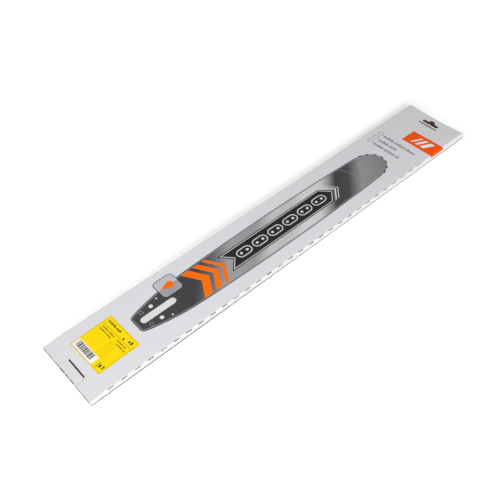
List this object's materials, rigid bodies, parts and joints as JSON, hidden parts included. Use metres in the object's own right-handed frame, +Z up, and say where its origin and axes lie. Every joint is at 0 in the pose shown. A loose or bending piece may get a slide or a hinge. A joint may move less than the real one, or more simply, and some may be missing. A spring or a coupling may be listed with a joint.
{
  "type": "flat corrugated cardboard spare-part pack",
  "caption": "Long flat sealed carton of thin corrugated board round a flat spare part, with perforated long folds, tucked end tongues, a punched hang slot in the header and a square sticker.",
  "frame": {"origin": "middle of the back panel, on the surface the pack lies on", "axes": "+X along the pack towards the hang end, +Y across it towards the rear long side, +Z up out of the printed front panel"},
  "size_m": [0.74, 0.1141, 0.0078],
  "materials": {
    "board": "matt print on thin corrugated board, brown at raw edges",
    "sticker_paper": "smooth coated paper"
  },
  "bodies": {
    "root": {"carton": "board", "label": "sticker_paper"}
  },
  "joints": []
}
